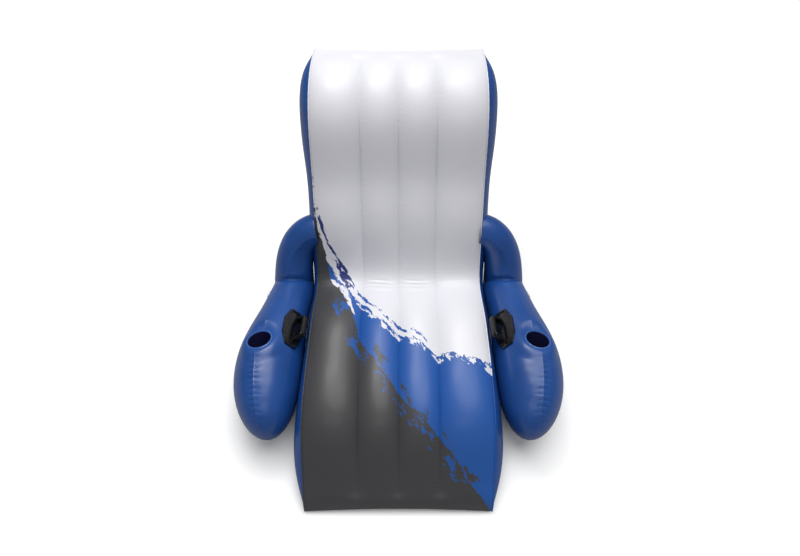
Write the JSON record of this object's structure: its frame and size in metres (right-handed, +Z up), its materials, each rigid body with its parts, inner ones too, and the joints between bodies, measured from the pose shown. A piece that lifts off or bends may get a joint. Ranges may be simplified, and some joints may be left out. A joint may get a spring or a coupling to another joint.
{
  "type": "inflatable pool float",
  "caption": "Reclining inflatable lounge with a channelled seat and back, two fat bent armrests, cup wells, grab handles and push-in oral valves.",
  "frame": {"origin": "middle of the footprint on the floor", "axes": "+Z up, +Y towards the head end, -Y towards the foot end, X across"},
  "size_m": [1.3392, 1.6651, 0.9152],
  "materials": {
    "printed_face_vinyl": "printed glossy vinyl sheet, white, dark grey and blue",
    "blue_vinyl": "glossy vinyl sheet",
    "web_vinyl": "plain vinyl sheet inside the body",
    "navy_vinyl": "dark glossy vinyl",
    "black_handle_vinyl": "moulded black vinyl, satin gloss",
    "valve_vinyl": "soft milky vinyl"
  },
  "bodies": {
    "float_body": {"back_panel": "blue_vinyl", "body_valve_base": "valve_vinyl", "face_panel": "printed_face_vinyl", "left_arm_inner_panel": "blue_vinyl", "left_arm_outer_panel": "blue_vinyl", "left_arm_riser_inner_panel": "blue_vinyl", "left_arm_riser_outer_panel": "blue_vinyl", "left_arm_valve_base": "valve_vinyl", "left_channel_web": "web_vinyl", "left_cup_rim": "blue_vinyl", "left_cup_well": "navy_vinyl", "left_handle_base": "black_handle_vinyl", "left_handle_grip": "black_handle_vinyl", "left_side_gusset": "blue_vinyl", "middle_channel_web": "web_vinyl", "right_arm_inner_panel": "blue_vinyl", "right_arm_outer_panel": "blue_vinyl", "right_arm_riser_inner_panel": "blue_vinyl", "right_arm_riser_outer_panel": "blue_vinyl", "right_arm_valve_base": "valve_vinyl", "right_channel_web": "web_vinyl", "right_cup_rim": "blue_vinyl", "right_cup_well": "navy_vinyl", "right_handle_base": "black_handle_vinyl", "right_handle_grip": "black_handle_vinyl", "right_side_gusset": "blue_vinyl"},
    "body_valve_stem": {"body_valve_stem": "valve_vinyl"},
    "body_valve_cap": {"body_valve_cap": "valve_vinyl"},
    "body_valve_flap": {"body_valve_flap": "valve_vinyl"},
    "right_arm_valve_stem": {"right_arm_valve_stem": "valve_vinyl"},
    "right_arm_valve_cap": {"right_arm_valve_cap": "valve_vinyl"},
    "right_arm_valve_flap": {"right_arm_valve_flap": "valve_vinyl"},
    "left_arm_valve_stem": {"left_arm_valve_stem": "valve_vinyl"},
    "left_arm_valve_cap": {"left_arm_valve_cap": "valve_vinyl"},
    "left_arm_valve_flap": {"left_arm_valve_flap": "valve_vinyl"}
  },
  "joints": [
    {"name": "body_valve_pull", "type": "slide", "parent": "float_body", "child": "body_valve_stem", "axis": [0, 0.6185, -0.7858], "range_m": [0, 0.01]},
    {"name": "body_valve_cap_hinge", "type": "hinge", "parent": "body_valve_stem", "child": "body_valve_cap", "pos_m": [0.065, 0.65172, 0.62593], "axis": [0, 0.7858, 0.6185], "range_deg": [0, 110]},
    {"name": "body_valve_flap_hinge", "type": "hinge", "parent": "body_valve_stem", "child": "body_valve_flap", "pos_m": [0.071, 0.63675, 0.64494], "axis": [0, -0.7858, -0.6185], "range_deg": [0, 35], "stiffness_Nm_per_rad": 0.0001},
    {"name": "right_arm_valve_pull", "type": "slide", "parent": "float_body", "child": "right_arm_valve_stem", "axis": [0.9648, 0.2192, 0.1453], "range_m": [0, 0.01]},
    {"name": "right_arm_valve_cap_hinge", "type": "hinge", "parent": "right_arm_valve_stem", "child": "right_arm_valve_cap", "pos_m": [0.58424, 0.08677, 0.14113], "axis": [-0.1756, 0.1255, 0.9764], "range_deg": [0, 110]},
    {"name": "right_arm_valve_flap_hinge", "type": "hinge", "parent": "right_arm_valve_stem", "child": "right_arm_valve_flap", "pos_m": [0.56207, 0.07566, 0.13857], "axis": [0.1756, -0.1255, -0.9764], "range_deg": [0, 35], "stiffness_Nm_per_rad": 0.0001},
    {"name": "left_arm_valve_pull", "type": "slide", "parent": "float_body", "child": "left_arm_valve_stem", "axis": [-0.9648, 0.2192, 0.1453], "range_m": [0, 0.01]},
    {"name": "left_arm_valve_cap_hinge", "type": "hinge", "parent": "left_arm_valve_stem", "child": "left_arm_valve_cap", "pos_m": [-0.58424, 0.08677, 0.14113], "axis": [-0.1756, -0.1255, -0.9764], "range_deg": [0, 110]},
    {"name": "left_arm_valve_flap_hinge", "type": "hinge", "parent": "left_arm_valve_stem", "child": "left_arm_valve_flap", "pos_m": [-0.56207, 0.07566, 0.13857], "axis": [0.1756, 0.1255, 0.9764], "range_deg": [0, 35], "stiffness_Nm_per_rad": 0.0001}
  ]
}
